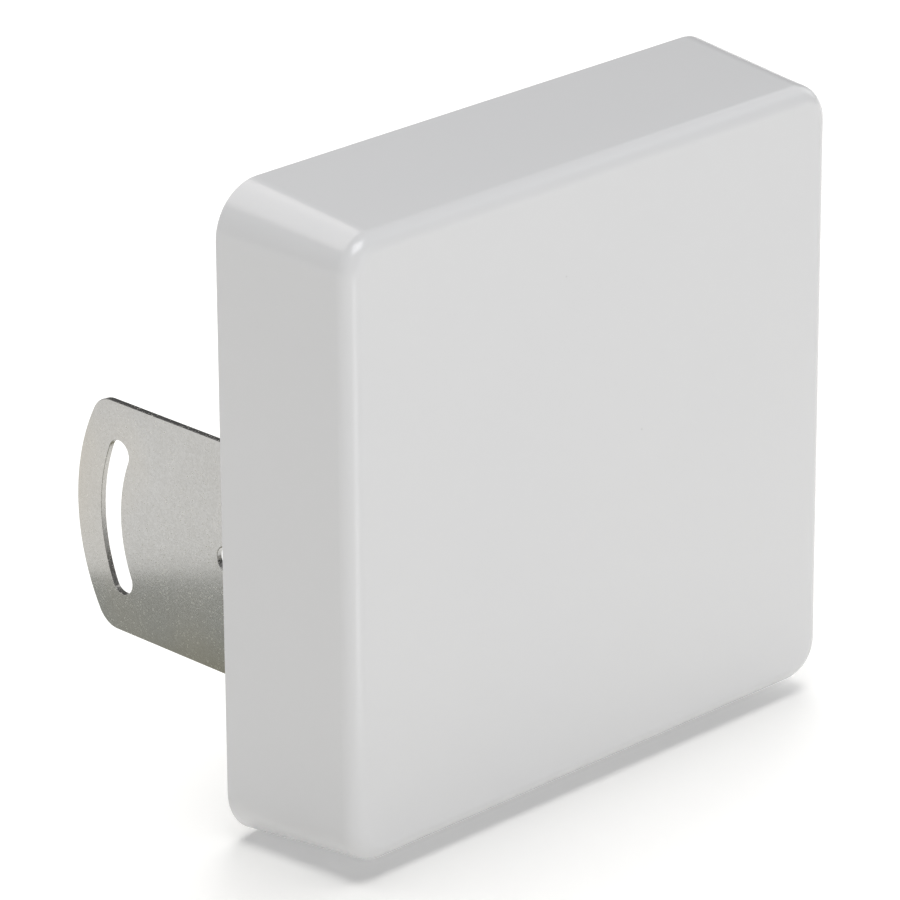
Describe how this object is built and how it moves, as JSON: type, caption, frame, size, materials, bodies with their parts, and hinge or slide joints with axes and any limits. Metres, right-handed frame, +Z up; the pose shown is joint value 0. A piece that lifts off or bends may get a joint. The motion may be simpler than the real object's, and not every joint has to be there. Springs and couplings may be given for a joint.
{
  "type": "panel antenna",
  "caption": "Square flat panel antenna: white moulded radome over stacked patches, metal back plate with coaxial sockets, bent steel bracket with an arc slot for tilt.",
  "frame": {"origin": "Centre of the bounding box on the surface it stands on; the lower rear edge of the radome is at Z = 0.", "axes": "+Z up, the antenna looks along -Y, the bracket reaches towards +Y, +X runs across the panel to the right as seen from the front."},
  "size_m": [0.205, 0.1854, 0.2003],
  "materials": {
    "white_plastic": "smooth moulded white plastic, semi-gloss",
    "zinc_plate": "zinc-plated sheet steel, satin with fine scratches",
    "aluminium": "mill-finish sheet aluminium",
    "zinc_fastener": "bright zinc-plated fastener",
    "nickel": "nickel-plated turned brass",
    "rubber": "black sealing rubber",
    "cap_plastic": "matt black soft plastic",
    "board": "green solder mask on laminate",
    "nylon": "natural nylon"
  },
  "bodies": {
    "antenna": {"radome": "white_plastic", "tilt_bracket": "zinc_plate", "back_plate": "aluminium", "driven_patch_1": "aluminium", "driven_patch_2": "aluminium", "driven_patch_3": "aluminium", "driven_patch_4": "aluminium", "director_patch_1": "aluminium", "director_patch_2": "aluminium", "director_patch_3": "aluminium", "director_patch_4": "aluminium", "back_screw_1": "zinc_fastener", "back_screw_2": "zinc_fastener", "back_screw_3": "zinc_fastener", "back_screw_4": "zinc_fastener", "back_screw_5": "zinc_fastener", "back_screw_6": "zinc_fastener", "back_screw_7": "zinc_fastener", "back_screw_8": "zinc_fastener", "bracket_bolt_1": "zinc_fastener", "bracket_bolt_2": "zinc_fastener", "bracket_bolt_3": "zinc_fastener", "bracket_bolt_4": "zinc_fastener", "bracket_washer_1": "zinc_fastener", "bracket_washer_2": "zinc_fastener", "bracket_washer_3": "zinc_fastener", "bracket_washer_4": "zinc_fastener", "clinch_nut_1": "zinc_fastener", "clinch_nut_2": "zinc_fastener", "clinch_nut_3": "zinc_fastener", "clinch_nut_4": "zinc_fastener", "socket_left": "nickel", "socket_right": "nickel", "socket_nut_left": "nickel", "socket_nut_right": "nickel", "seal_gasket": "rubber", "socket_seal_left": "rubber", "socket_seal_right": "rubber", "vent_plug": "cap_plastic", "feed_board": "board", "board_standoff_1": "nylon", "board_standoff_2": "nylon", "board_standoff_3": "nylon", "board_standoff_4": "nylon", "board_standoff_5": "nylon", "patch_post_1": "nylon", "patch_post_2": "nylon", "patch_post_3": "nylon", "patch_post_4": "nylon"},
    "cap_left": {"socket_cap_left": "cap_plastic"},
    "cap_right": {"socket_cap_right": "cap_plastic"}
  },
  "joints": [
    {"name": "cap_left_pull", "type": "slide", "parent": "antenna", "child": "cap_left", "axis": [0, 1, 0], "range_m": [0, 0.015]},
    {"name": "cap_right_pull", "type": "slide", "parent": "antenna", "child": "cap_right", "axis": [0, 1, 0], "range_m": [0, 0.015]}
  ]
}
